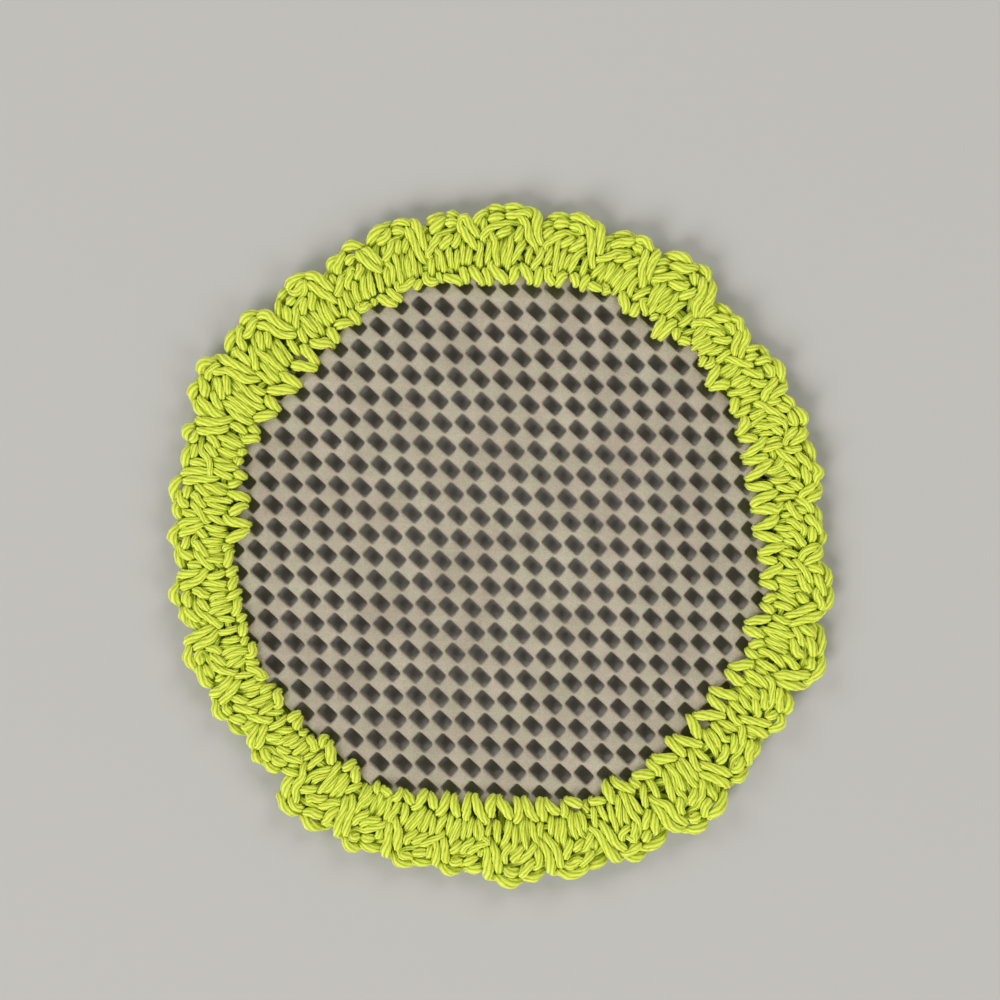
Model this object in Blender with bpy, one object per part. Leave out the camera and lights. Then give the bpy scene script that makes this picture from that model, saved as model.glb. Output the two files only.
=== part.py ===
"""Jar gripper: a disc of non-slip mesh liner held in a crocheted two-round border.

Units are metres. +Z is up, the surface it lies on is z = 0, and the origin is on that
surface under the middle of the border. Bearings run clockwise from +Y, seen from above.
"""

from math import cos, pi, radians, sin

import bmesh
import bpy

MM = 0.001
GAP = 0.3 * MM

# The liner: a disc that sags a little between the border's edges.
LINER_RADIUS = 70.6 * MM
LINER_THICK = 1.7 * MM
LINER_RIM_Z = 1.9 * MM          # underside where the border holds it
LINER_FLAT_Z = 1.1 * MM         # underside of the level middle
LINER_FLAT_RADIUS = 24.0 * MM
LINER_HELD_RADIUS = 62.0 * MM   # outside this it is level again, for the slot
LINER_WAVE = 0.35 * MM          # height of the slack between middle and border
LINER_SPOKES = 72
LINER_RINGS = (24.0, 34.0, 43.0, 52.0, 62.0)    # mm, between middle and rim

# The border: one ring whose inner lip wraps the liner's edge.
BORDER_THICK = 5.6 * MM
INNER_RADIUS = 65.0 * MM        # mean radius of the first round's inner edge
INNER_CORNER = 1.1 * MM         # the first round follows the mesh, so its edge is eight-sided
INNER_SIDES = 8
VALLEY_DEPTH = 2.8 * MM         # from a shell's crest to the valley beside it
VALLEY_DIP = 0.22               # share of its height that the top loses in a valley
DIP_STARTS = 0.33               # how far across the section the shells begin
EDGE_SHIFT = (-0.4 * MM, 0.5 * MM)  # the inner edge isn't quite in the middle
DIVISIONS = 6                   # sections in each shell

# One row for each shell of the second round, clockwise.
FIRST_VALLEY = 7.6              # bearing of the valley before the first row, degrees
SHELLS = (                      # (width in degrees, crest radius in mm)
    (11.5, 86.0), (10.0, 85.9), (12.6, 87.0), (10.0, 83.6), (10.5, 84.4), (8.9, 83.5),
    (12.1, 83.2), (10.8, 82.4), (11.0, 84.7), (11.9, 87.0), (10.0, 84.5), (11.8, 85.4),
    (11.9, 88.0), (11.5, 87.6), (10.5, 86.4), (10.9, 86.4), (9.2, 84.9), (9.3, 85.4),
    (9.5, 86.3), (11.5, 87.4), (10.6, 83.6), (10.2, 84.6), (10.8, 85.5), (11.2, 84.9),
    (9.2, 84.0), (9.0, 85.0), (9.6, 85.5), (11.4, 88.8), (11.0, 87.4), (10.5, 85.8),
    (10.5, 85.6), (8.6, 86.8), (10.2, 85.6), (11.8, 86.6),
)

# The border's section, from its inner lip outward over the top.
# (how far across from the inner edge to the outer edge, height over the border's thickness)
TOP_SECTION = (
    (0.00, 0.80), (0.07, 0.94), (0.24, 0.95), (0.325, 0.84), (0.42, 0.93), (0.62, 0.90),
    (0.72, 1.00), (0.90, 0.93), (1.00, 0.52),
)
BOTTOM_SECTION = ((0.93, 0.07), (0.86, 0.0), (0.12, 0.0), (0.03, 0.08))

LINER_COLOUR = (0.50, 0.45, 0.34, 1.0)
YARN_COLOUR = (0.60, 0.76, 0.05, 1.0)


def clear_scene():
    for old in list(bpy.data.objects):
        bpy.data.objects.remove(old, do_unlink=True)


def new_collection(name):
    collection = bpy.data.collections.new(name)
    bpy.context.scene.collection.children.link(collection)
    return collection


def make_material(name, colour, roughness):
    material = bpy.data.materials.new(name)
    material.use_nodes = True
    shader = material.node_tree.nodes["Principled BSDF"]
    shader.inputs["Base Color"].default_value = colour
    shader.inputs["Roughness"].default_value = roughness
    shader.inputs["Metallic"].default_value = 0.0
    return material


def smoothstep(t):
    t = min(max(t, 0.0), 1.0)
    return t * t * (3.0 - 2.0 * t)


def add_loop(bm, points):
    return [bm.verts.new(point) for point in points]


def bridge(bm, first, second):
    """Joins two closed loops of the same length with a band of quads."""
    count = len(first)
    for i in range(count):
        j = (i + 1) % count
        bm.faces.new((first[i], first[j], second[j], second[i]))


def finish_object(bm, name, collection, material):
    """Turns a closed bmesh into a named object with its own material."""
    bmesh.ops.recalc_face_normals(bm, faces=bm.faces)
    mesh = bpy.data.meshes.new(name)
    bm.to_mesh(mesh)
    bm.free()
    mesh.shade_smooth()
    mesh.set_sharp_from_angle(angle=radians(50.0))
    mesh.materials.append(material)
    piece = bpy.data.objects.new(name, mesh)
    collection.objects.link(piece)
    return piece


def liner_underside(radius, bearing):
    """Height of the liner's underside: level middle, slack waves, level rim."""
    rise = smoothstep((radius - LINER_FLAT_RADIUS) / (LINER_HELD_RADIUS - LINER_FLAT_RADIUS))
    slack = sin(pi * rise) * (0.6 * sin(3.0 * bearing + 0.8) + 0.4 * sin(5.0 * bearing - 0.5))
    return LINER_FLAT_Z + (LINER_RIM_Z - LINER_FLAT_Z) * rise + LINER_WAVE * slack


def liner_loop(bm, radius, lift):
    points = []
    for spoke in range(LINER_SPOKES):
        bearing = 2.0 * pi * spoke / LINER_SPOKES
        height = liner_underside(radius, bearing) + lift
        points.append((radius * sin(bearing), radius * cos(bearing), height))
    return add_loop(bm, points)


def build_liner(collection):
    """The mesh disc as one closed sheet; its holes are finer than this solid."""
    bm = bmesh.new()
    radii = [r * MM for r in LINER_RINGS] + [LINER_RADIUS]
    under = [liner_loop(bm, radius, 0.0) for radius in radii]
    over = [liner_loop(bm, radius, LINER_THICK) for radius in radii]
    loops = under + over[::-1]
    for first, second in zip(loops, loops[1:]):
        bridge(bm, first, second)
    bm.faces.new(under[0])
    bm.faces.new(over[0])
    return finish_object(bm, "mesh_liner", collection, make_material("liner", LINER_COLOUR, 0.75))


def shell_edges():
    """The bearing, outer radius and swell from valley to crest of every section, clockwise."""
    crests = [crest * MM for _, crest in SHELLS]
    turn = 360.0 / sum(width for width, _ in SHELLS)
    bearing = FIRST_VALLEY
    edges = []
    for row, (width, _) in enumerate(SHELLS):
        crest = crests[row]
        before = (crests[row - 1] + crest) / 2.0 - VALLEY_DEPTH
        after = (crest + crests[(row + 1) % len(crests)]) / 2.0 - VALLEY_DEPTH
        for step in range(DIVISIONS):
            across = step / DIVISIONS
            valley = before + (after - before) * across
            swell = sin(pi * across ** 0.9) ** 0.55 if step else 0.0
            angle = radians(bearing + across * width * turn)
            edges.append((angle, valley + (crest - valley) * swell, swell))
        bearing += width * turn
    return edges


def inner_edge(bearing):
    """Radius of the inner edge: a circle eased towards the mesh's eight directions."""
    wave = INNER_CORNER * cos(INNER_SIDES * bearing)
    shift = EDGE_SHIFT[0] * sin(bearing) + EDGE_SHIFT[1] * cos(bearing)
    return INNER_RADIUS - wave + shift


def border_section(bearing, outer, swell):
    """Radius and height round the section: over the top, under, and round the slot."""
    inner = inner_edge(bearing)
    points = []
    for across, height in TOP_SECTION + BOTTOM_SECTION:
        dip = VALLEY_DIP * (1.0 - swell) * smoothstep((across - DIP_STARTS) / (1.0 - DIP_STARTS))
        points.append((inner + (outer - inner) * across, BORDER_THICK * height * (1.0 - dip)))
    slot_low = LINER_RIM_Z - GAP
    slot_high = LINER_RIM_Z + LINER_THICK + GAP
    slot_end = LINER_RADIUS + GAP
    points += [(inner, slot_low), (slot_end, slot_low), (slot_end, slot_high), (inner, slot_high)]
    return points


def build_border(collection):
    """Both crocheted rounds as one ring, lofted from section to section."""
    bm = bmesh.new()
    loops = []
    for bearing, outer, swell in shell_edges():
        section = border_section(bearing, outer, swell)
        loops.append(add_loop(bm, [(r * sin(bearing), r * cos(bearing), z) for r, z in section]))
    for first, second in zip(loops, loops[1:] + loops[:1]):
        bridge(bm, first, second)
    return finish_object(bm, "crochet_border", collection, make_material("yarn", YARN_COLOUR, 0.9))


def main():
    clear_scene()
    collection = new_collection("jar_gripper")
    build_liner(collection)
    build_border(collection)


main()
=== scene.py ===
"""The looks of the jar gripper: a disc of non-slip mesh with a crocheted border.

Lengths are in millimetres until a mesh is made, and heights are above the surface that it
lies on. Bearings run clockwise from +Y, seen from above, in radians where nothing else is
said. The border is one yarn: its route is written stitch by stitch, settled so that its
strands press on each other, and then given its plies.
"""

from math import atan2, cos, degrees, pi, radians, sin

import bpy
import numpy as np
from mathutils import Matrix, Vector


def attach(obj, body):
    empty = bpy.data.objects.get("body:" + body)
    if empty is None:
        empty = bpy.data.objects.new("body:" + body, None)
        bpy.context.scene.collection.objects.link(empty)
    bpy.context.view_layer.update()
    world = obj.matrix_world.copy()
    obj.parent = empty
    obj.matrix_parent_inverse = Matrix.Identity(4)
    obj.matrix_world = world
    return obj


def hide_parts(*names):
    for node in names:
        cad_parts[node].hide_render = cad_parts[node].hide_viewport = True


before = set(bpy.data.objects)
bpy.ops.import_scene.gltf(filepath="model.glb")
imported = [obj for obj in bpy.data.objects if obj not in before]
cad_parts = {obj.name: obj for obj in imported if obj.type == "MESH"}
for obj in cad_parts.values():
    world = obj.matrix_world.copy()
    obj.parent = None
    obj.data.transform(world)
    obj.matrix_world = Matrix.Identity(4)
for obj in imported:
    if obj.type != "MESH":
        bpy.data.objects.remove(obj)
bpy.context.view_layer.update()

MM = 0.001
rng = np.random.default_rng(34)


# ================================================================ small helpers
def smoothstep(t):
    t = np.clip(t, 0.0, 1.0)
    return t * t * (3.0 - 2.0 * t)


def wobble(size):
    """One hand-made unevenness, never more than twice its size."""
    return float(np.clip(rng.normal(0.0, size), -2.0 * size, 2.0 * size))


def anticlockwise(start, end):
    """How far one bearing lies anticlockwise of another, from -pi to pi."""
    return (start - end + pi) % (2.0 * pi) - pi


def place(bearing, along, radius, height):
    """A point 'along' millimetres anticlockwise of a bearing, at a radius and height."""
    turned = bearing - along / radius
    return (radius * sin(turned), radius * cos(turned), height)


def mesh_object(name, points, faces, marks):
    """A smooth mesh object from points in millimetres; 'marks' are named values at each point."""
    mesh = bpy.data.meshes.new(name)
    mesh.from_pydata((np.asarray(points) * MM).tolist(), [], faces)
    for mark, values in marks.items():
        kind = "FLOAT_VECTOR" if np.ndim(values) == 2 else "FLOAT"
        layer = mesh.attributes.new(mark, kind, "POINT")
        field = "vector" if kind == "FLOAT_VECTOR" else "value"
        layer.data.foreach_set(field, np.asarray(values, dtype=np.float32).ravel())
    mesh.shade_smooth()
    mesh.validate()
    piece = bpy.data.objects.new(name, mesh)
    bpy.context.scene.collection.objects.link(piece)
    return piece


# ================================================================ the mesh liner
LINER_RADIUS = 70.6
LINER_THICK = 1.7           # over a lump
LINER_FLAT_Z = 1.1          # underside of the level middle
LINER_FLAT_RADIUS = 24.0
LINER_RIM_Z = 1.9           # underside of the level rim, which the border holds
LINER_RIM_TOP = LINER_RIM_Z + LINER_THICK
LINER_HELD_RADIUS = 62.0
LINER_WAVE = 0.35           # height of the slack between the middle and the rim,
LINER_WAVES = ((0.6, 3.0, 0.8), (0.4, 5.0, -0.5))  # as (share, waves round, turned by)

LATTICE_AT = (1.08, 0.63)   # centre of the hole nearest the middle
CELL_A = (3.314, -3.080)    # from a hole to the lump beside it, one way
CELL_B = (2.419, 2.759)     # and the other way
CELL_REACH = 28             # so many cells from the middle are past the rim every way
BOW_RADIUS = 63.0           # where the grid is out of true by the next two lines' numbers:
BOW_X = (-0.66, 0.13, -0.95)  # mm along X for x * x, x * y and y * y
BOW_Y = (0.25, 0.37, 0.38)    # and mm along Y

HOLE_HALF = (0.505, 0.41)   # half the hole, as a share of the cell each way
HOLE_SQUARENESS = 7.0       # 2 is an ellipse, more is squarer
HOLE_PAST_RIM = 4.0         # holes with their middles so far past the rim still cut it
LUMP_EDGE = 0.55            # how far the rounding reaches in from a hole's rim
LUMP_BANDS = ((0.07, 0.12), (0.22, 0.38), (0.55, 0.70))  # ring distances: (mm, share at a neck)
SIDE_STEPS = 6              # divisions from one lump's middle to the next


def liner_underside(x, y):
    """Height of the liner's underside: level middle, slack waves, level rim."""
    radius = np.hypot(x, y)
    bearing = np.arctan2(x, y)
    rise = smoothstep((radius - LINER_FLAT_RADIUS) / (LINER_HELD_RADIUS - LINER_FLAT_RADIUS))
    waves = sum(share * np.sin(count * bearing + turn) for share, count, turn in LINER_WAVES)
    slack = np.sin(pi * rise) * waves
    return LINER_FLAT_Z + (LINER_RIM_Z - LINER_FLAT_Z) * rise + LINER_WAVE * slack


def lattice(p, q):
    """Where the mesh's cell (p, q) lies: a skew grid, drawn a little out of true."""
    p, q = np.asarray(p, float), np.asarray(q, float)
    x = LATTICE_AT[0] + p * CELL_A[0] + q * CELL_B[0]
    y = LATTICE_AT[1] + p * CELL_A[1] + q * CELL_B[1]
    u, v = x / BOW_RADIUS, y / BOW_RADIUS
    return (x + BOW_X[0] * u * u + BOW_X[1] * u * v + BOW_X[2] * v * v,
            y + BOW_Y[0] * u * u + BOW_Y[1] * u * v + BOW_Y[2] * v * v)


def hole_rim(u, v):
    """The point of a hole's rim that belongs to (u, v) of the diamond round it."""
    turn = 0.5 * pi * abs(v) / (abs(u) + abs(v))
    power = 2.0 / HOLE_SQUARENESS
    return (np.sign(u) * HOLE_HALF[0] * cos(turn) ** power,
            np.sign(v) * HOLE_HALF[1] * abs(sin(turn)) ** power)


def diamond_outline():
    """Points round a hole from lump to lump, in cells from its centre."""
    corners = ((1.0, 0.0), (0.0, 1.0), (-1.0, 0.0), (0.0, -1.0))
    outline = []
    for (u0, v0), (u1, v1) in zip(corners, corners[1:] + corners[:1]):
        for step in range(SIDE_STEPS):
            t = step / SIDE_STEPS
            outline.append((u0 + (u1 - u0) * t, v0 + (v1 - v0) * t))
    return outline


def liner_holes():
    """The cells of every hole that the disc reaches."""
    cells = []
    for p in range(-CELL_REACH, CELL_REACH + 1):
        for q in range(-CELL_REACH, CELL_REACH + 1):
            x, y = lattice(p, q)
            if (p + q) % 2 == 0 and x * x + y * y < (LINER_RADIUS + HOLE_PAST_RIM) ** 2:
                cells.append((p, q))
    return cells


def hole_rings(p, q, outline):
    """Rings of (x, y, distance from the rim) from between the lumps in to one hole's rim."""
    u, v = np.array(outline).T
    rim = np.array([hole_rim(*point) for point in outline])
    outer = np.stack(lattice(p + u, q + v), axis=1)
    inner = np.stack(lattice(p + rim[:, 0], q + rim[:, 1]), axis=1)
    span = np.linalg.norm(outer - inner, axis=1)
    rings = [np.column_stack([outer, span])]
    for distance, share in reversed(LUMP_BANDS):
        away = np.minimum(distance, share * span)
        rings.append(np.column_stack([inner + (outer - inner) * (away / span)[:, None], away]))
    rings.append(np.column_stack([inner, np.zeros(len(outline))]))
    return rings


def liner_web():
    """The liner seen from above: points (x, y, distance from a hole's rim) and their quads."""
    outline = diamond_outline()
    points, index, quads = [], {}, []

    def vertex(point, key):
        """The number of a point; one on the outermost ring is shared with the holes beside."""
        if key not in index:
            index[key] = len(points)
            points.append(point)
        return index[key]

    for p, q in liner_holes():
        rings = []
        for depth, ring in enumerate(hole_rings(p, q, outline)):
            numbers = []
            for point, (u, v) in zip(ring, outline):
                shared = (round(SIDE_STEPS * (p + u)), round(SIDE_STEPS * (q + v)))
                numbers.append(vertex(point, shared if depth == 0 else (len(points),)))
            rings.append(numbers)
        for outer, inner in zip(rings, rings[1:]):
            for i, j in zip(range(len(outline)), [*range(1, len(outline)), 0]):
                quads.append((outer[i], outer[j], inner[j], inner[i]))
    return np.array(points), np.array(quads)


def build_liner():
    """The liner as one closed sheet of pillowy lumps, necks and true holes."""
    points, quads = liner_web()
    radius = np.hypot(points[:, 0], points[:, 1])
    quads = quads[(radius[quads] < LINER_RADIUS).any(axis=1)]
    over = radius > LINER_RADIUS
    points[over, :2] *= (LINER_RADIUS / radius[over])[:, None]

    x, y, away = points.T
    edge = np.clip(away / LUMP_EDGE, 0.0, 1.0)
    half = 0.5 * LINER_THICK * np.sqrt(1.0 - (1.0 - edge) ** 2)
    middle = liner_underside(x, y) + 0.5 * LINER_THICK
    at_rim = away == 0.0
    count = len(points)
    lower = np.where(at_rim, np.arange(count), np.arange(count) + count)
    top = np.column_stack([x, y, middle + half])
    bottom = np.column_stack([x, y, middle - half])
    faces = [tuple(quad[::-1]) for quad in quads] + [tuple(quad) for quad in lower[quads]]

    sides = {}                  # the sides that only one quad has
    for quad in quads:
        for a, b in zip(quad, np.roll(quad, -1)):
            key = (min(a, b), max(a, b))
            sides[key] = None if key in sides else (a, b)
    for side in sides.values():
        if side and not (at_rim[side[0]] and at_rim[side[1]]):
            a, b = side
            wall = [a, b, lower[b], lower[a]]
            faces.append(tuple(dict.fromkeys(wall)))
    used = np.unique(np.concatenate([np.array(face) for face in faces]))
    renumber = np.full(2 * count, -1)
    renumber[used] = np.arange(len(used))
    faces = [tuple(int(renumber[i]) for i in face) for face in faces]
    # thinness, high at a hole's rim, is where the material paints shade on the hole walls
    thinness = np.tile(1.0 - edge, 2)[used]
    return mesh_object("mesh_liner_sheet", np.vstack([top, bottom])[used], faces,
                       {"thinness": thinness})


# ================================================================ the yarn's route
YARN_RADIUS = 1.22          # of a strand that lies loose


class Route:
    """The yarn's route: rows of x, y, height and fullness, which is 1 where it lies loose."""

    def __init__(self):
        self.rows = []

    def add(self, point, fullness):
        self.rows.append((*point, fullness))

    def follow(self, bearing, rows):
        """Go on through rows of (mm anticlockwise of the bearing, radius, height, fullness)."""
        for along, radius, height, fullness in rows:
            self.add(place(bearing, along, radius, height), fullness)

    def follow_pair(self, bearing, strand, between=()):
        """Go out along one strand and back along another; 'strand' gives the rows of a side."""
        there = strand(-1.0)
        back = strand(1.0)[::-1]
        self.follow(bearing, [*there, *between, *back])


def curve(p0, p1, p2, p3, t):
    """The smooth curve from p1 to p2 that comes from p0 and goes on to p3."""
    return 0.5 * (2.0 * p1 + (p2 - p0) * t + (2.0 * p0 - 5.0 * p1 + 4.0 * p2 - p3) * t * t
                  + (3.0 * p1 - p0 - 3.0 * p2 + p3) * t * t * t)


def spline(points, position):
    """A smooth curve through rows of numbers; positions count rows and may run past the ends."""
    last = len(points) - 1
    start = int(np.clip(np.floor(position), 0, last - 1))
    t = position - start
    p1, p2 = points[start], points[start + 1]
    p0 = points[start - 1] if start > 0 else 2.0 * p1 - p2
    p3 = points[start + 2] if start + 2 <= last else 2.0 * p2 - p1
    if position < 0.0:
        return p1 + (p2 - p0) * 0.5 * t
    if position > last:
        return p2 + (p3 - p1) * 0.5 * (t - 1.0)
    return curve(p0, p1, p2, p3, t)


# ---------------------------------------------------------------- the first round
WALK_START = (4.3, -63.0)   # the first round starts at the hole nearest this point
WALK_MIDDLE = (-1.5, 1.0)   # and goes round this middle,
WALK_RADIUS = 66.2          # through the holes nearest this radius,
WALK_DENTS = (              # which is less about two bearings: (degrees, half width, mm)
    (315.0, 25.0, 2.5), (275.0, 10.0, 3.0),
)
WALK_MOVES = ((2, 0), (-2, 0), (0, 2), (0, -2), (1, 1), (1, -1), (-1, 1), (-1, -1))  # in cells
WALK_LEAST_STEP = 4.0       # mm that each stitch moves on at least
WALK_THRIFT = 0.3           # how far a hole off the line is preferred to a long step
WALK_ROUND = 2.0 * pi - 0.04  # turned so far, the walk is back at its start

TOP_RADIUS = 71.9           # where the first round's top links lie
TOP_AT_HOLE = 0.75          # how nearly each keeps to its hole, against an even spacing
TOP_LINK_FULL = 0.85
TOP_LINK = (                # (share of the pitch, radius, height) of the link along the top
    (0.10, 71.9, 1.3), (0.22, 72.0, 2.2), (0.45, 72.3, 3.0), (0.85, 72.2, 3.1),
    (1.12, 72.0, 2.6), (1.18, 72.1, 1.9), (0.95, 72.6, 1.3), (0.5, 72.7, 1.1),
    (0.25, 72.1, 1.0),
)
HOLE_SEAT = 1.75            # mm outward of a hole's middle that the yarn is drawn
LEG_SPREAD = 2.00           # mm from a single crochet's middle to the top of either leg
LONG_LEG = 3.0              # mm, and a leg that is longer splays by a share of the rest:
LONG_SPLAY = 0.4
LEG_TOP = 70.4              # radius where its legs go under the second round
LEG_LEAN = 1.35             # mm anticlockwise that its top sits from its hole
LEG_JOINT = (0.0, 72.3, 1.5, 0.7)  # a row between the legs, behind the top link


def edge_walk():
    """The holes of the first round, anticlockwise, each a neighbour of the one before."""

    def from_middle(cell):
        return np.array(lattice(*cell)) - WALK_MIDDLE

    def bearing_of(cell):
        return atan2(*from_middle(cell))

    def line_radius(bearing):
        radius = WALK_RADIUS
        for centre, half_width, depth in WALK_DENTS:
            away = abs(degrees(anticlockwise(bearing, radians(centre)))) / half_width
            radius -= depth * (0.5 + 0.5 * cos(pi * min(away, 1.0)))
        return radius

    def cost(cell, step):
        off_line = abs(float(np.hypot(*from_middle(cell))) - line_radius(bearing_of(cell)))
        return off_line + WALK_THRIFT * step

    def from_start(cell):
        return float(np.hypot(*(np.array(lattice(*cell)) - WALK_START)))

    cell = min(liner_holes(), key=from_start)
    walk, turned = [cell], 0.0
    while True:
        ahead = []
        for dp, dq in WALK_MOVES:
            beside = (cell[0] + dp, cell[1] + dq)
            turn = anticlockwise(bearing_of(cell), bearing_of(beside))
            step = turn * WALK_RADIUS
            if step > WALK_LEAST_STEP:
                ahead.append((cost(beside, step), turn, beside))
        _, turn, cell = min(ahead)
        turned += turn
        if turned > WALK_ROUND:
            return [np.array(lattice(*cell)) for cell in walk]
        walk.append(cell)


def add_single(route, bearing, hole, pitch):
    """One single crochet over the liner's edge, then the link along its top."""
    outward = hole / np.linalg.norm(hole)
    seat = hole + HOLE_SEAT * outward
    foot_radius = float(np.hypot(*seat))
    foot = anticlockwise(bearing, atan2(*seat)) * foot_radius
    length = LEG_TOP - foot_radius
    spread = LEG_SPREAD + LONG_SPLAY * max(length - LONG_LEG, 0.0) + wobble(0.3)
    lean = wobble(0.35)
    over = LINER_RIM_TOP

    def leg(side):
        """A leg from under the liner, through its hole, over the edge and up to the top."""
        top = side * spread + lean + wobble(0.15)
        return [
            (foot + 0.5 * side + 0.3, foot_radius + 0.6 * length, 0.95, 0.75),
            (foot + 0.55 * side, foot_radius + 0.4, 1.3, 0.75),
            (foot + 0.58 * side, foot_radius - 0.1, 0.5 * (LINER_RIM_Z + over), 0.72),
            (foot + 0.72 * side, foot_radius + 0.3, over + 0.75, 0.90),
            (0.6 * foot + 0.4 * top + 0.45 * side, foot_radius + 0.40 * length, over + 1.05, 1.05),
            (0.1 * foot + 0.9 * top, foot_radius + 0.82 * length, over + 0.95, 1.08),
            (top, foot_radius + length, over - 0.2, 0.95),
        ]

    route.follow_pair(bearing, leg, [LEG_JOINT])
    route.follow(bearing, [(share * pitch, radius, height, TOP_LINK_FULL)
                           for share, radius, height in TOP_LINK])


# ---------------------------------------------------------------- the second round
FIRST_VALLEY = 7.6          # bearing of the valley before the first shell, degrees
SHELLS = (                  # (width in degrees, crest radius in mm), clockwise
    (11.5, 86.0), (10.0, 85.9), (12.6, 87.0), (10.0, 83.6), (10.5, 84.4), (8.9, 83.5),
    (12.1, 83.2), (10.8, 82.4), (11.0, 84.7), (11.9, 87.0), (10.0, 84.5), (11.8, 85.4),
    (11.9, 88.0), (11.5, 87.6), (10.5, 86.4), (10.9, 86.4), (9.2, 84.9), (9.3, 85.4),
    (9.5, 86.3), (11.5, 87.4), (10.6, 83.6), (10.2, 84.6), (10.8, 85.5), (11.2, 84.9),
    (9.2, 84.0), (9.0, 85.0), (9.6, 85.5), (11.4, 88.8), (11.0, 87.4), (10.5, 85.8),
    (10.5, 85.6), (8.6, 86.8), (10.2, 85.6), (11.8, 86.6),
)
SHELL_RADIUS = 80.0         # where a shell's width in millimetres is measured
SHELLS_IN_PIECE = 9         # the round is cut into meshes of so many shells
CREST_BRAID = 2.4           # mm that the chain's line lies below its outermost strand
LEAN = 0.30                 # how far the edge tips down, height lost for each mm outward

# One link of a chain, as its yarn runs: up through the link before, out along one leg, round
# the neck of the link after, back along the other leg and down again.
# (links along the chain, mm across it, mm in front of it, fullness)
LINK = (
    (-0.14, 0.50, -0.80, 0.80), (0.04, 0.75, 0.40, 0.92), (0.27, 1.15, 1.20, 1.08),
    (0.58, 1.40, 1.05, 1.18), (0.88, 1.25, 0.05, 1.12), (1.10, 0.80, -1.20, 0.94),
    (1.18, 0.00, -1.80, 0.80), (1.10, -0.80, -1.20, 0.94), (0.88, -1.30, 0.10, 1.12),
    (0.58, -1.50, 1.20, 1.20), (0.27, -1.20, 1.30, 1.10), (0.04, -0.75, 0.40, 0.92),
    (-0.14, -0.50, -0.80, 0.80),
)
LINK_PITCH = 4.2            # mm, shorter links are drawn narrower,
LINK_LEAST = 0.7            # but no narrower than this share
LINK_SPREADS = (0.85, 0.95, 0.90, 0.85)  # of a shell's four links

FOOT_AT = 0.58              # a shell's posts stand on this share of its width,
FOOT_PITCH = 1.8            # mm apart,
TIP_FAN = 0.85              # and fan out to this share of the way to their links
POST_REACH = 5.0            # mm from the chain's line down to a post's tip
POST_FULL = 0.74            # a post's strands are drawn thin
# (links back, height, fullness) of the yarn behind a link, between a post's two strands
BEHIND_LINK = (0.5, 1.9, 1.15)
# (mm anticlockwise, mm below the chain's line, height, fullness) of a yarn-over
YARN_OVER = (
    (-1.6, 3.0, 3.0, 0.85), (-0.8, 3.9, 4.6, 0.98), (0.4, 4.9, 4.9, 1.00),
    (1.5, 5.9, 4.2, 0.92), (1.7, 6.7, 2.6, 0.85),
)
# (mm to either side of the valley, radius, height, fullness) of a slip stitch's strands
SLIP_STITCH = (
    (0.5, 72.9, 1.2, 0.85), (0.6, 70.5, 2.2, 0.85), (1.0, 71.1, 3.7, 0.85),
    (1.1, 74.0, 3.6, 0.85), (0.8, 76.4, 1.7, 0.85),
)


class Arch:
    """The line that a shell's chain of links follows, from its right valley to its left."""

    def __init__(self, bearing, width, crest):
        self.bearing = bearing
        line = crest - YARN_RADIUS - CREST_BRAID
        self.line = line
        # (along from the right valley, radius, height) of each link's neck and the last one's end
        self.nodes = np.array([
            (0.02 * width + wobble(0.25), 75.4 + wobble(0.3), 2.9 + wobble(0.2)),
            (0.34 * width + wobble(0.35), line + wobble(0.2), 3.9 + wobble(0.3)),
            (0.61 * width + wobble(0.35), line + 0.1 + wobble(0.2), 3.4 + wobble(0.3)),
            (0.87 * width + wobble(0.3), line - 1.6 + wobble(0.3), 3.1 + wobble(0.3)),
            (1.01 * width + wobble(0.25), 75.6 + wobble(0.3), 1.7),
        ])

    def at(self, position):
        """The (along, radius, height) of a position, which counts links from the right."""
        return spline(self.nodes, position)

    def point(self, position, across, front):
        """The point that lies so many mm outward of the line and in front of it."""
        along, radius, height = self.at(position)
        ahead = self.at(position + 0.05) - self.at(position - 0.05)
        length = np.hypot(ahead[0], ahead[1])
        along -= across * ahead[1] / length
        radius += across * ahead[0] / length
        return place(self.bearing, along, radius, height + front - LEAN * across)


def add_link(route, arch, neck):
    """One link of the chain, from the neck with this number to the next."""
    length = float(np.linalg.norm(arch.nodes[neck + 1] - arch.nodes[neck]))
    narrow = float(np.clip(length / LINK_PITCH, LINK_LEAST, 1.0))
    spread = (LINK_SPREADS[neck] + wobble(0.06)) * narrow
    lift = wobble(0.15)
    for position, across, front, fullness in LINK:
        route.add(arch.point(neck + position, across * spread, front + lift), fullness)


def add_yarn_over(route, arch, along):
    """The strand that lies slanting across the front of a half treble, under its link."""
    along += wobble(0.35)
    slack = wobble(0.3)
    slant = 1.0 + wobble(0.2)
    route.follow(arch.bearing, [(along + slant * turn, arch.line - below + slack, height, fullness)
                                for turn, below, height, fullness in YARN_OVER])


def add_post(route, arch, base, foot, neck, tip):
    """A stitch's two strands, from behind, through the round below, up, and back again."""
    reach = arch.line - POST_REACH + wobble(0.5)
    sway = wobble(0.35)
    waist = base + 0.45 * foot + 0.55 * tip + sway

    def strand(side):
        return [
            (base + foot + 0.75 * side, 72.7, 1.1, 0.85),
            (base + foot + 0.65 * side, 70.4, 2.3, 0.82),
            (base + foot + 0.70 * side, 71.1, 4.0, 0.80),
            (waist + 0.78 * side, 0.5 * (72.0 + reach), 4.3, POST_FULL),
            (base + tip + 0.80 * side, reach, 3.3, POST_FULL),
        ]

    back, height, fullness = BEHIND_LINK
    along, radius, _ = arch.at(neck - back)
    route.follow_pair(arch.bearing, strand, [(along, radius, height, fullness)])


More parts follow.
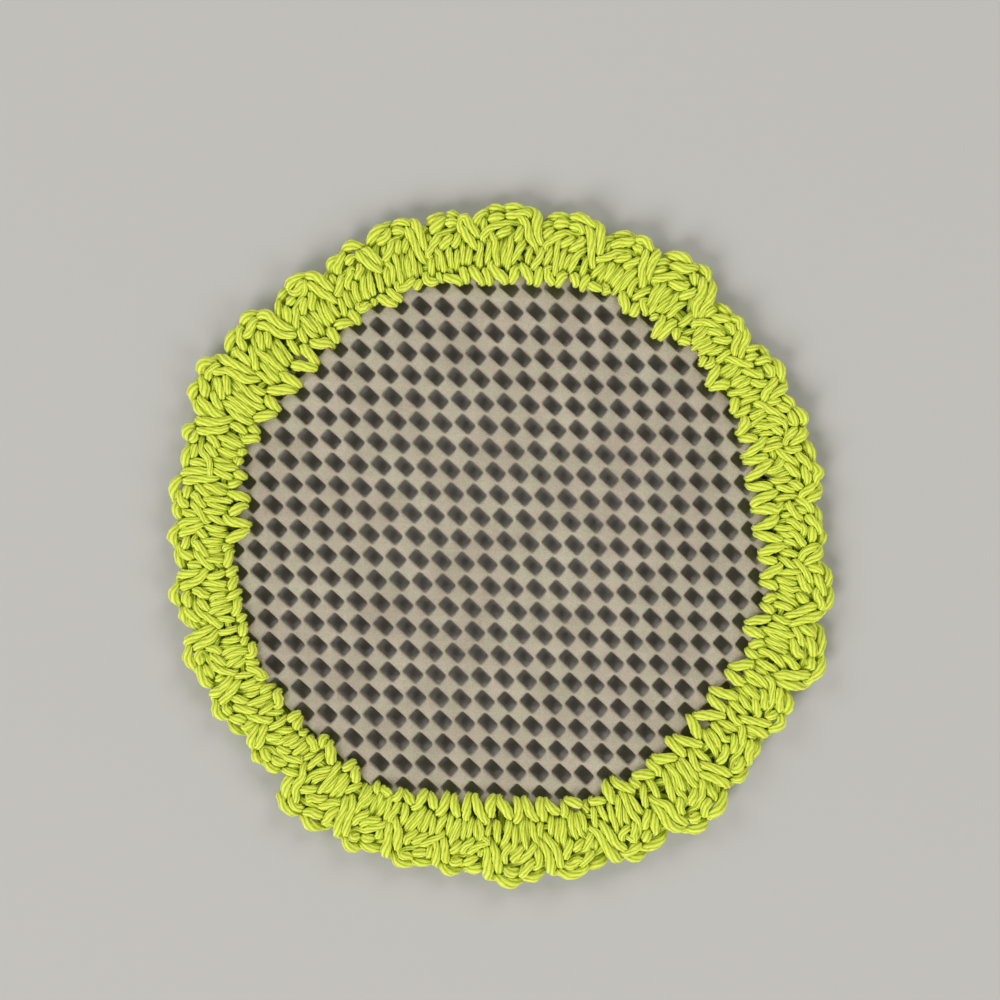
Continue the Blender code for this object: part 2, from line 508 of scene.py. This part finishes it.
def add_shell(route, bearing, width, crest):
    """One shell: three half trebles in one stitch, then a slip stitch in the valley."""
    arch = Arch(bearing, width, crest)
    base = FOOT_AT * width + wobble(0.5)
    for post in range(3):
        foot = (post - 1) * FOOT_PITCH
        tip = TIP_FAN * (arch.nodes[post + 1][0] - base)
        add_yarn_over(route, arch, base + tip)
        add_post(route, arch, base, foot, post + 1, tip)
        add_link(route, arch, post)

    def slip_strand(side):
        return [(width + apart * side, *rest) for apart, *rest in SLIP_STITCH]

    route.follow_pair(bearing, slip_strand)
    add_link(route, arch, 3)


def yarn_route():
    """The whole border as it is worked, anticlockwise, and where each of its pieces starts."""
    route = Route()
    holes = edge_walk()
    count = len(holes)
    pitch = 2.0 * pi * TOP_RADIUS / count
    at_holes = -np.unwrap([-atan2(*hole) for hole in holes])
    evenly = at_holes.mean() - 2.0 * pi * (np.arange(count) - 0.5 * (count - 1)) / count
    tops = TOP_AT_HOLE * at_holes + (1.0 - TOP_AT_HOLE) * evenly - LEG_LEAN / TOP_RADIUS
    for bearing, hole in zip(tops, holes):
        add_single(route, bearing, hole, pitch)

    widths = np.array([width for width, _ in SHELLS])
    widths *= 360.0 / widths.sum()
    valleys = FIRST_VALLEY + np.concatenate([[0.0], np.cumsum(widths)[:-1]])
    valley = int(np.abs(valleys - degrees(tops[-1]) % 360.0).argmin())
    bearing = radians(valleys[valley])
    starts = [0]
    for worked in range(len(SHELLS)):
        shell = (valley - 1 - worked) % len(SHELLS)
        if worked % SHELLS_IN_PIECE == 0:
            starts.append(len(route.rows))
        across = radians(widths[shell])
        add_shell(route, bearing, across * SHELL_RADIUS, SHELLS[shell][1])
        bearing -= across
    return np.array(route.rows), starts


# ================================================================ the yarn settled
SETTLE_STEP = 0.9           # mm between the points that are moved
CURVE_STEPS = 6             # divisions of a curve from one row to the next
NEIGHBOURS_ALONG = 4        # points so near along the yarn don't press on each other
TABLE_GAP = 0.03            # mm that the lowest strands lie above the table

YARN_STRAY = 0.05           # how far the yarn's thickness strays, as a share,
UNSMOOTHED = 3.0            # times this, for what smoothing takes away
UNEVENNESS = 0.30           # mm, how far the hand strays from the pattern as a rule,
MOST_UNEVEN = 1.5           # and how many times that at most

SETTLE_TURNS = 72
SETTLE_LOOK = 6             # turns from one search for strands that touch to the next
SETTLE_REACH = 2.0 * YARN_RADIUS + 0.6  # and how near it looks
SQUEEZE = 0.86              # strands may be this share of their two radii apart
SETTLE_PUSH = 1.5           # how hard nearer ones are pushed, 1 to be just clear,
SETTLE_MOST = 0.6           # for this many mm of overlap at the most
SETTLE_KEPT = 0.985         # share of a point's drift that a turn keeps
OUTWARD_GIVE = 0.3          # mm that a strand may be pushed out past its place
BORDER_TOP = 6.1            # mm, nothing is pushed above this
OVER_LINER = 3.7            # strands higher than this lie on the liner,
LINER_PRESS = 0.75          # with their middles this share of their radius above it

ROOM_REACH = 2.0 * YARN_RADIUS + 0.4    # strands nearer than this press each other thin:
ROOM_FILLED = 1.10          # they fill the room between them and overlap a little
THINNEST, FULLEST = 0.74, 1.08          # as a share of their own radius


def even_curve(rows, step):
    """Evenly spaced rows on the smooth curve through rows, and how far along each row was."""
    p1, p2 = rows[:-1, None], rows[1:, None]
    p0 = np.vstack([2.0 * rows[0] - rows[1], rows[:-2]])[:, None]
    p3 = np.vstack([rows[2:], 2.0 * rows[-1] - rows[-2]])[:, None]
    t = (np.arange(CURVE_STEPS) / CURVE_STEPS)[None, :, None]
    fine = np.vstack([curve(p0, p1, p2, p3, t).reshape(-1, rows.shape[1]), rows[-1:]])
    lengths = np.linalg.norm(np.diff(fine[:, :3], axis=0), axis=1)
    travelled = np.concatenate([[0.0], np.cumsum(lengths)])
    marks = np.linspace(0.0, travelled[-1], round(travelled[-1] / step) + 1)
    even = np.column_stack([np.interp(marks, travelled, column) for column in fine.T])
    return even, travelled[::CURVE_STEPS] / travelled[-1] * (len(even) - 1)


def smoothed(rows, times=1):
    """Rows averaged with the ones beside them."""
    for _ in range(times):
        padded = np.concatenate([rows[:1], rows, rows[-1:]])
        rows = 0.25 * padded[:-2] + 0.5 * padded[1:-1] + 0.25 * padded[2:]
    return rows


def near_pairs(points, reach):
    """Pairs of points nearer than 'reach' that aren't neighbours along the yarn."""
    cell = np.floor((points - points.min(axis=0)) / reach).astype(np.int64) + 1
    size = cell.max(axis=0) + 2
    key = (cell[:, 0] * size[1] + cell[:, 1]) * size[2] + cell[:, 2]
    order = np.argsort(key, kind="stable")
    ordered = key[order]
    found = []
    for beside in np.ndindex(3, 3, 3):
        dx, dy, dz = np.array(beside) - 1
        other = key + (dx * size[1] + dy) * size[2] + dz
        low = np.searchsorted(ordered, other, "left")
        count = np.searchsorted(ordered, other, "right") - low
        i = np.repeat(np.arange(len(points)), count)
        within = np.arange(count.sum()) - np.repeat(np.cumsum(count) - count, count)
        j = order[np.repeat(low, count) + within]
        near = j - i > NEIGHBOURS_ALONG
        near[near] = np.linalg.norm(points[i[near]] - points[j[near]], axis=1) < reach
        found.append(np.stack([i[near], j[near]]))
    return np.concatenate(found, axis=1)


def settle(home, radii, turns):
    """Let the strands push each other apart until they lie against one another."""
    count = len(home)
    on_liner = (home[:, 2] > OVER_LINER) & (np.hypot(home[:, 0], home[:, 1]) < LINER_RADIUS)
    lowest = np.where(on_liner, LINER_RIM_TOP + LINER_PRESS * radii, radii + TABLE_GAP)
    highest = np.maximum(BORDER_TOP - radii, lowest)
    outward = home[:, :2] / np.linalg.norm(home[:, :2], axis=1)[:, None]
    drift = np.zeros_like(home)
    points = home
    for turn in range(turns):
        if turn % SETTLE_LOOK == 0:
            i, j = near_pairs(points, SETTLE_REACH)
        apart = points[i] - points[j]
        distance = np.maximum(np.linalg.norm(apart, axis=1), 0.05)
        short = np.clip(SQUEEZE * (radii[i] + radii[j]) - distance, 0.0, SETTLE_MOST)
        shove = apart * (0.5 * short / distance)[:, None]
        touches = np.bincount(i, short > 0.0, count) + np.bincount(j, short > 0.0, count)
        for axis in range(3):
            move = np.bincount(i, shove[:, axis], count) - np.bincount(j, shove[:, axis], count)
            drift[:, axis] += SETTLE_PUSH * move / np.maximum(touches, 1.0)
        drift = smoothed(drift) * SETTLE_KEPT
        stretch = np.sum(drift[:, :2] * outward, axis=1)
        drift[:, :2] -= outward * np.maximum(stretch - OUTWARD_GIVE, 0.0)[:, None]
        points = home + drift
        points[:, 2] = np.clip(points[:, 2], lowest, highest)
    return points


def thickness(points, radii):
    """Each strand's radius where it lies: drawn thin where others press on it."""
    i, j = near_pairs(points, ROOM_REACH)
    distance = np.linalg.norm(points[i] - points[j], axis=1)
    share = distance / (radii[i] + radii[j])
    room = np.full(len(points), 2.0)
    np.minimum.at(room, i, share)
    np.minimum.at(room, j, share)
    return radii * smoothed(np.clip(ROOM_FILLED * room, THINNEST, FULLEST), times=2)


# ================================================================ the yarn's plies
PLY_COUNT = 6
PLY_DEPTH = 0.15            # depth of the grooves between plies, as a share of the radius
PLY_SWELLING = 0.05         # how far a ply's thickness strays, as a share of the radius
FUZZ = 0.065                # how far each point of its surface strays, the same,
MOST_FUZZ = 2.0             # and how many times that at most
PLY_PITCH = 24.0            # mm along the yarn for one turn of its twist
PLY_SIDES = 3               # a ply's groove and its two shoulders
TUBE_SIDES = PLY_COUNT * PLY_SIDES
TUBE_STEP = 0.64            # mm between the rings of the finished strand
TUBE_FLOOR = 0.01           # mm, the lowest that its surface reaches


def side_vectors(ahead):
    """A vector square to each direction of a strand, with no twist from one to the next."""
    side = np.cross(ahead[0], (0.0, 0.0, 1.0))
    sides = []
    for direction in ahead:
        side = side - direction * (side @ direction)
        side /= np.linalg.norm(side)
        sides.append(side)
    return np.array(sides)


def tube_faces(count):
    """The quads between 'count' rings, and the two ends."""
    i = np.arange(count - 1)[:, None] * TUBE_SIDES
    j = np.arange(TUBE_SIDES)[None, :]
    k = (j + 1) % TUBE_SIDES
    quads = np.stack([i + j, i + k, i + TUBE_SIDES + k, i + TUBE_SIDES + j], axis=-1)
    faces = quads.reshape(-1, 4).tolist()
    faces.append(list(range(TUBE_SIDES))[::-1])
    faces.append(list(range((count - 1) * TUBE_SIDES, count * TUBE_SIDES)))
    return faces


def tube(name, points, radii, start):
    """A twisted strand of plies along points; 'start' is the yarn's length before them."""
    count = len(points)
    ahead = np.gradient(points, axis=0)
    ahead /= np.linalg.norm(ahead, axis=1)[:, None]
    normals = side_vectors(ahead)[:, None, :]
    others = np.cross(ahead[:, None, :], normals)
    lengths = np.linalg.norm(np.diff(points, axis=0), axis=1)
    travelled = start + np.concatenate([[0.0], np.cumsum(lengths)])
    angles = 2.0 * pi * np.arange(TUBE_SIDES) / TUBE_SIDES
    # crest marks a ply's shoulders; the material paints shade in the grooves between them
    crest = (np.arange(TUBE_SIDES) % PLY_SIDES > 0).astype(float)
    turned = angles[None, :] + (2.0 * pi * travelled / PLY_PITCH)[:, None]
    swelling = smoothed(rng.normal(size=(count, PLY_COUNT)), times=3)
    swelling = np.repeat(swelling, PLY_SIDES, axis=1)
    fuzz = np.clip(rng.normal(size=swelling.shape), -MOST_FUZZ, MOST_FUZZ)
    reach = radii[:, None] * (1.0 - PLY_DEPTH * (1.0 - crest) + PLY_SWELLING * swelling * crest
                              + FUZZ * fuzz)
    across = (reach * np.cos(turned))[:, :, None]
    up = (reach * np.sin(turned))[:, :, None]
    rings = (points[:, None, :] + normals * across + others * up).reshape(-1, 3)
    rings[:, 2] = np.maximum(rings[:, 2], TUBE_FLOOR)
    along = np.broadcast_to(travelled[:, None, None], across.shape)
    strand = np.concatenate([across, up, along], axis=2).reshape(-1, 3)
    marks = {"strand": strand, "crest": np.tile(crest, count)}
    return mesh_object(name, rings, tube_faces(count), marks)


def build_border():
    """The settled yarn as one piece for the first round and a few for the second."""
    rows, starts = yarn_route()
    rows, where = even_curve(rows, SETTLE_STEP)
    cuts = [int(round(where[start])) for start in starts]
    stray = smoothed(rng.normal(size=len(rows)), times=6)
    radii = YARN_RADIUS * rows[:, 3] * (1.0 + YARN_STRAY * stray * UNSMOOTHED)
    stray = smoothed(rng.normal(size=(len(rows), 3)), times=8)
    points = rows[:, :3] + UNEVENNESS * np.clip(stray / stray.std(), -MOST_UNEVEN, MOST_UNEVEN)
    points[:, 2] = np.maximum(points[:, 2], radii + TABLE_GAP)
    points = settle(points, radii, SETTLE_TURNS)
    radii = thickness(points, radii)
    points[:, 2] = np.maximum(points[:, 2], radii + TABLE_GAP)
    rows, where = even_curve(np.column_stack([points, radii]), TUBE_STEP)
    cuts = [int(round(where[cut])) for cut in cuts] + [len(rows) - 1]
    pieces = []
    for number, (first, last) in enumerate(zip(cuts, cuts[1:])):
        name = "yarn_first_round" if number == 0 else "yarn_second_round_" + str(number)
        part = rows[first:last + 1]
        pieces.append(tube(name, part[:, :3], part[:, 3], first * TUBE_STEP))
    return pieces


# ================================================================ materials
YARN_SHADE_AND_DARK_FIBRES = (0.34, 0.39, 0.008)     # painted shade between the plies, also the darkest fibres
YARN_MIDDLE = (0.52, 0.59, 0.032)
YARN_HIGHLIGHT_AND_PALE_FIBRES = (0.70, 0.79, 0.115)    # painted highlight on their crests, also the palest fibres
YARN_SHEEN = (0.88, 1.0, 0.35, 1.0)
FIBRE_SCALE = (1.9, 1.9, 0.8)       # fibres for each mm, round the strand and along it
FIBRE_FLECKS = 1.5                  # how far they move the tone
FIBRE_RELIEF = 0.12                 # mm
PATCH_SCALE = (0.05, 0.05, 0.14)    # plainer stretches for each mm, the same way round
PATCH_SHARE = 0.30                  # how far those go to the middle colour
YARN_SCATTER = 0.9                  # mm that light travels in the yarn

LINER_DARK = (0.335, 0.290, 0.212)
LINER_PALE = (0.435, 0.385, 0.290)
LINER_PINK = (0.400, 0.325, 0.262)
LINER_GREEN = (0.355, 0.365, 0.245)
LINER_WALL_SHADE = (0.130, 0.105, 0.065, 1.0)     # painted shade on the walls of its holes
LINER_BLUSH = 0.22                  # how far the pink and green clouds show
LINER_PAINTED_SHADE_SHARE = 0.55                  # and how far the painted shade on its hole walls shows
CLOUD_SCALE = 95.0                  # clouds, blushes and grains for each metre
BLUSH_SCALE = 160.0
GRAIN_SCALE = 3800.0
GRAIN_RELIEF = 0.10                 # mm

FLOOR_COLOUR = (0.45, 0.437, 0.415, 1.0)


class Nodes:
    """A material's or a world's nodes, built one at a time behind the node that ends them."""

    def __init__(self, owner, end="Principled BSDF"):
        owner.use_nodes = True
        self.owner = owner
        self.tree = owner.node_tree
        self.end = self.tree.nodes[end]

    def node(self, kind, inputs=(), **settings):
        """A node with its settings; 'inputs' pairs sockets with values or with other sockets."""
        made = self.tree.nodes.new(kind)
        for setting, value in settings.items():
            setattr(made, setting, value)
        for socket, value in inputs:
            self.feed(made, socket, value)
        return made

    def feed(self, node, socket, value):
        if isinstance(value, bpy.types.NodeSocket):
            self.tree.links.new(value, node.inputs[socket])
        else:
            node.inputs[socket].default_value = value

    def finish(self, sockets):
        """Feed the end node's sockets, and give back what the nodes belong to."""
        for socket, value in sockets.items():
            self.feed(self.end, socket, value)
        return self.owner

    def mark(self, name):
        """The values that the mesh carries under a name."""
        return self.node("ShaderNodeAttribute", attribute_name=name)

    def scaled(self, vector, scale):
        return self.node("ShaderNodeMapping", (("Vector", vector), ("Scale", scale))).outputs[0]

    def noise(self, vector, scale, detail):
        """A noise value, 0 to 1."""
        inputs = (("Vector", vector), ("Scale", scale), ("Detail", detail))
        return self.node("ShaderNodeTexNoise", inputs).outputs["Fac"]

    def maths(self, operation, first, second):
        return self.node("ShaderNodeMath", ((0, first), (1, second)), operation=operation).outputs[0]

    def ramp(self, value, stops):
        """A colour looked up by a value; 'stops' are (value, colour)."""
        ramp = self.node("ShaderNodeValToRGB", (("Fac", value),))
        elements = ramp.color_ramp.elements
        elements[0].position, elements[1].position = stops[0][0], stops[-1][0]
        elements[0].color, elements[1].color = (*stops[0][1], 1.0), (*stops[-1][1], 1.0)
        for position, colour in stops[1:-1]:
            elements.new(position).color = (*colour, 1.0)
        return ramp.outputs["Color"]

    def mixed(self, share, first, second, blend="MIX"):
        """Two colours mixed, all of the first where the share is 0."""
        inputs = ((0, share), (6, first), (7, second))
        return self.node("ShaderNodeMix", inputs, data_type="RGBA", blend_type=blend).outputs[2]

    def bump(self, height, strength, distance):
        inputs = (("Height", height), ("Strength", strength), ("Distance", distance))
        return self.node("ShaderNodeBump", inputs).outputs[0]


def yarn_material():
    """Soft plied cotton, lime yellow: fibres along the strand, painted shade between the plies and a
    painted highlight on their crests.
    """
    nodes = Nodes(bpy.data.materials.new("lime_cotton"))
    strand = nodes.mark("strand").outputs["Vector"]
    crest = nodes.mark("crest").outputs["Fac"]
    fibres = nodes.noise(nodes.scaled(strand, FIBRE_SCALE), 1.0, 4.0)
    patches = nodes.noise(nodes.scaled(strand, PATCH_SCALE), 1.0, 2.0)
    flecks = nodes.maths("MULTIPLY", nodes.maths("SUBTRACT", fibres, 0.5), FIBRE_FLECKS)
    # the crest mark paints shade in the grooves and a highlight on the crests; the fibre flecks are
    # the yarn's own tone
    tone = nodes.maths("ADD", crest, flecks)
    colour = nodes.ramp(tone, ((0.0, YARN_SHADE_AND_DARK_FIBRES), (0.45, YARN_MIDDLE), (1.0, YARN_HIGHLIGHT_AND_PALE_FIBRES)))
    plain = nodes.maths("MULTIPLY", patches, PATCH_SHARE)
    return nodes.finish({
        "Base Color": nodes.mixed(plain, colour, (*YARN_MIDDLE, 1.0)),
        "Normal": nodes.bump(fibres, 0.35, FIBRE_RELIEF * MM),
        "Roughness": 0.72,
        "Specular IOR Level": 0.3,
        "Subsurface Weight": 0.25,
        "Subsurface Radius": (1.0, 1.0, 0.25),
        "Subsurface Scale": YARN_SCATTER * MM,
        "Sheen Weight": 0.25,
        "Sheen Roughness": 0.45,
        "Sheen Tint": YARN_SHEEN,
    })


def liner_material():
    """Matt foam rubber, warm grey, with a fine grain, faint pink and green clouds, and painted shade
    on the walls of its holes.
    """
    nodes = Nodes(bpy.data.materials.new("grey_foam_rubber"))
    here = nodes.node("ShaderNodeTexCoord").outputs["Object"]
    thinness = nodes.mark("thinness").outputs["Fac"]
    clouds = nodes.noise(here, CLOUD_SCALE, 2.0)
    blushes = nodes.noise(here, BLUSH_SCALE, 1.0)
    grain = nodes.noise(here, GRAIN_SCALE, 3.0)
    base = nodes.ramp(clouds, ((0.30, LINER_DARK), (0.70, LINER_PALE)))
    blush = nodes.ramp(blushes, ((0.38, LINER_PINK), (0.62, LINER_GREEN)))
    speckle = nodes.ramp(grain, ((0.30, (0.80, 0.80, 0.80)), (0.70, (1.18, 1.18, 1.18))))
    colour = nodes.mixed(LINER_BLUSH, base, blush)
    colour = nodes.mixed(1.0, colour, speckle, "MULTIPLY")
    # painted shade: the thinness mark darkens the hole walls and rims
    walls = nodes.maths("MULTIPLY", thinness, LINER_PAINTED_SHADE_SHARE)
    return nodes.finish({
        "Base Color": nodes.mixed(walls, colour, LINER_WALL_SHADE),
        "Normal": nodes.bump(grain, 0.5, GRAIN_RELIEF * MM),
        "Roughness": 0.82,
        "Specular IOR Level": 0.25,
    })


def floor_material():
    nodes = Nodes(bpy.data.materials.new("studio_floor"))
    return nodes.finish({"Base Color": FLOOR_COLOUR, "Roughness": 0.9, "Specular IOR Level": 0.1})


# ================================================================ the studio
FLOOR_RADIUS = 2.6          # metres from here on
SOFT_BOXES = (              # (name, bearing, height in degrees, watts)
    ("key", 215.0, 35.0, 104.0),
    ("left", 305.0, 33.0, 41.0),
    ("right", 125.0, 33.0, 41.0),
    ("back", 35.0, 35.0, 45.0),
)
SOFT_BOX_DISTANCE = 3.6
SOFT_BOX_SIZE = 1.8
ROOM_COLOUR = (1.0, 0.99, 0.97, 1.0)
WALL_BRIGHTNESS = 0.64      # of the pale walls all round,
WALL_TOP = 25.0             # up to so many degrees
CEILING_BRIGHTNESS = 0.04   # of the dim ceiling, which keeps the mesh's holes dark,
CEILING_EDGE = 50.0         # down to so many degrees
CAMERA_AT = (-0.0006, 0.011, 0.353)
CAMERA_LENS = 50.0


def build_floor():
    bpy.ops.mesh.primitive_circle_add(vertices=96, radius=FLOOR_RADIUS, fill_type="NGON")
    floor = bpy.context.object
    floor.name = "floor"
    floor.data.materials.append(floor_material())
    return floor


def build_room():
    """Pale walls under a dim ceiling, as the light from all round."""
    nodes = Nodes(bpy.data.worlds.new("studio"), "Background")
    direction = nodes.node("ShaderNodeTexCoord").outputs["Generated"]
    height = nodes.node("ShaderNodeSeparateXYZ", ((0, direction),)).outputs["Z"]
    inputs = (("Value", height), ("From Min", sin(radians(WALL_TOP))),
              ("From Max", sin(radians(CEILING_EDGE))), ("To Min", WALL_BRIGHTNESS),
              ("To Max", CEILING_BRIGHTNESS))
    shade = nodes.node("ShaderNodeMapRange", inputs, interpolation_type="SMOOTHSTEP").outputs[0]
    return nodes.finish({"Strength": shade, "Color": ROOM_COLOUR})


def build_soft_box(name, bearing, height, watts):
    """A square lamp that faces the object, at a bearing and height in degrees."""
    light = bpy.data.lights.new(name, "AREA")
    light.energy = watts
    light.size = SOFT_BOX_SIZE
    bearing, height = radians(bearing), radians(height)
    away = Vector((cos(height) * sin(bearing), cos(height) * cos(bearing), sin(height)))
    lamp = bpy.data.objects.new(name, light)
    lamp.location = away * SOFT_BOX_DISTANCE
    lamp.rotation_euler = (-away).to_track_quat("-Z", "Y").to_euler()
    bpy.context.scene.collection.objects.link(lamp)


def build_camera():
    """A camera that looks straight down, as the photograph does."""
    lens = bpy.data.cameras.new("camera")
    lens.lens = CAMERA_LENS
    camera = bpy.data.objects.new("camera", lens)
    camera.location = CAMERA_AT
    bpy.context.scene.collection.objects.link(camera)
    return camera


# ================================================================ the pieces, put together
def finish_piece(piece, material, node):
    piece.data.materials.append(material)
    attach(piece, "root")
    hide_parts(node)


liner = build_liner()
finish_piece(liner, liner_material(), "mesh_liner")
border = build_border()
cotton = yarn_material()
for strand in border:
    finish_piece(strand, cotton, "crochet_border")

floor = build_floor()
bpy.context.scene.world = build_room()
for soft_box in SOFT_BOXES:
    build_soft_box(*soft_box)
bpy.context.scene.camera = build_camera()
bpy.context.scene.view_settings.view_transform = "Standard"
